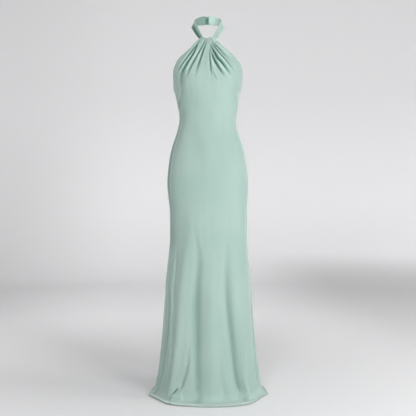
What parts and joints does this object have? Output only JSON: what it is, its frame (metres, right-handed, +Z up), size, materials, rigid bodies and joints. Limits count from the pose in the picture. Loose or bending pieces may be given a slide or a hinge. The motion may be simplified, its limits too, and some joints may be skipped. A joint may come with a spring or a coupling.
{
  "type": "high neck halter dress",
  "caption": "Floor-length halter dress in thin jersey, filled out, with gathers fanning from a twist at the throat, a hooked neck band, a low back and a hem that breaks on the floor.",
  "frame": {"origin": "inside face of the neck band at the centre back, where the wearer's nape holds the dress", "axes": "+X to the right seen from the front, +Y to the back, +Z up"},
  "size_m": [0.46, 0.4594, 1.494],
  "materials": {
    "jersey": "matt mint stretch jersey with a soft sheen",
    "fastener": "small enamelled wire hooks and eyes, toned to the cloth"
  },
  "bodies": {
    "root": {"front_panel": "jersey", "back_panel": "jersey", "strap_left": "jersey", "strap_right": "jersey", "closure_tab": "jersey", "hook_upper": "fastener", "hook_lower": "fastener", "eye_upper": "fastener", "eye_lower": "fastener"}
  },
  "joints": []
}
